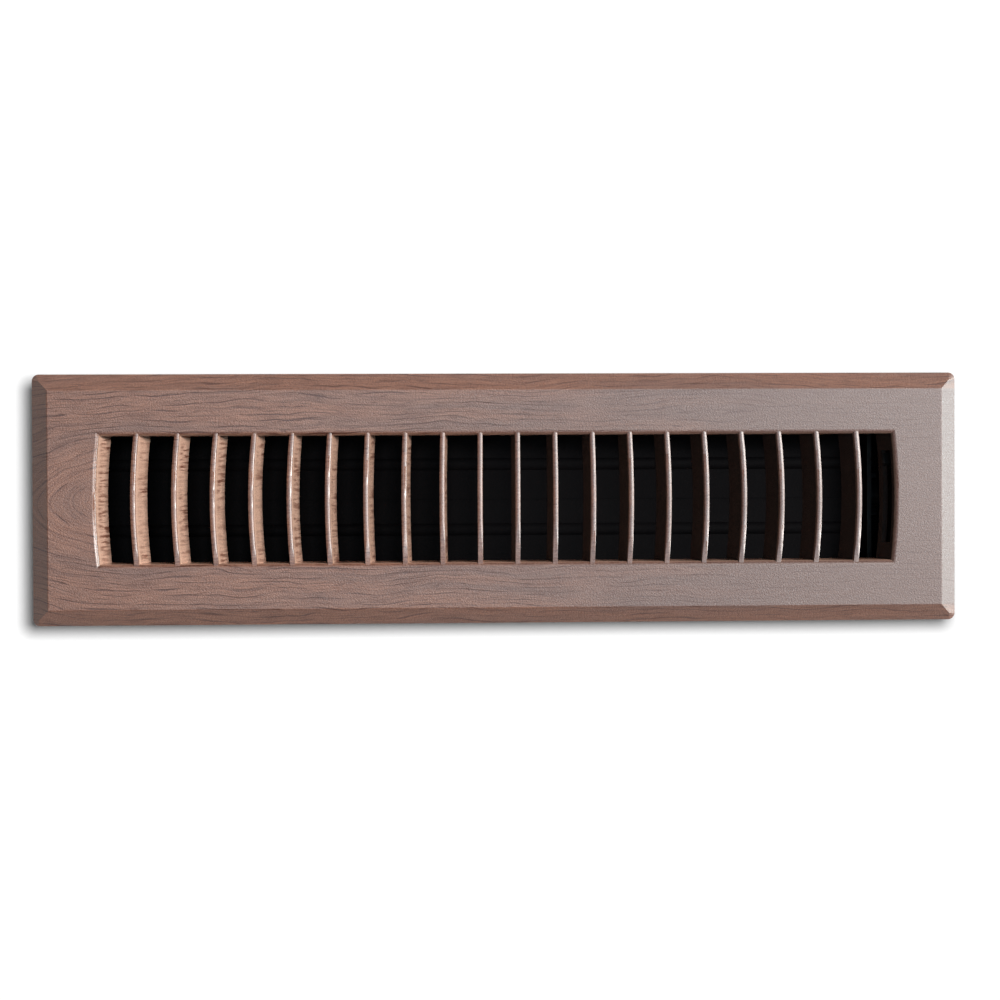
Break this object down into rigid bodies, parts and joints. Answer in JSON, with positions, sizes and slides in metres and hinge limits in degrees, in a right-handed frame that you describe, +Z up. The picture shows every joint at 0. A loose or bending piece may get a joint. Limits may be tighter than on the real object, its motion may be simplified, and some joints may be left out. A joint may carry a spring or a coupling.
{
  "type": "floor register",
  "caption": "Plastic floor register with a bevelled wood-look faceplate, bowed louvres that fan outwards, and a geared blade damper worked by a thumb lever.",
  "frame": {"origin": "centre of the plane in which the underside of the faceplate's rim rests on the floor", "axes": "+X along the register towards the lever end, +Y across it, +Z up out of the duct"},
  "size_m": [0.341, 0.092, 0.0502],
  "materials": {
    "woodgrain_plastic": "walnut grain printed film, finely pebbled, satin",
    "black_plastic": "as moulded, satin"
  },
  "bodies": {
    "frame": {"faceplate": "woodgrain_plastic", "damper_housing": "black_plastic"},
    "lever": {"thumb_lever": "black_plastic"},
    "rear_vane": {"rear_blade": "black_plastic"},
    "front_vane": {"front_blade": "black_plastic"}
  },
  "joints": [
    {"name": "lever_swing", "type": "hinge", "parent": "frame", "child": "lever", "pos_m": [0.146, 0, -0.03], "axis": [1, 0, 0], "range_deg": [0, 51.4]},
    {"name": "rear_blade_turn", "type": "hinge", "parent": "frame", "child": "rear_vane", "pos_m": [0, 0.01238, -0.03], "axis": [1, 0, 0], "range_deg": [-90, 0]},
    {"name": "front_blade_turn", "type": "hinge", "parent": "frame", "child": "front_vane", "pos_m": [0, -0.01238, -0.03], "axis": [1, 0, 0], "range_deg": [-90, 0]}
  ],
  "couplings": [
    {"joint": "rear_blade_turn", "follows": "lever_swing", "ratio": -1.75},
    {"joint": "front_blade_turn", "follows": "lever_swing", "ratio": -1.75}
  ]
}
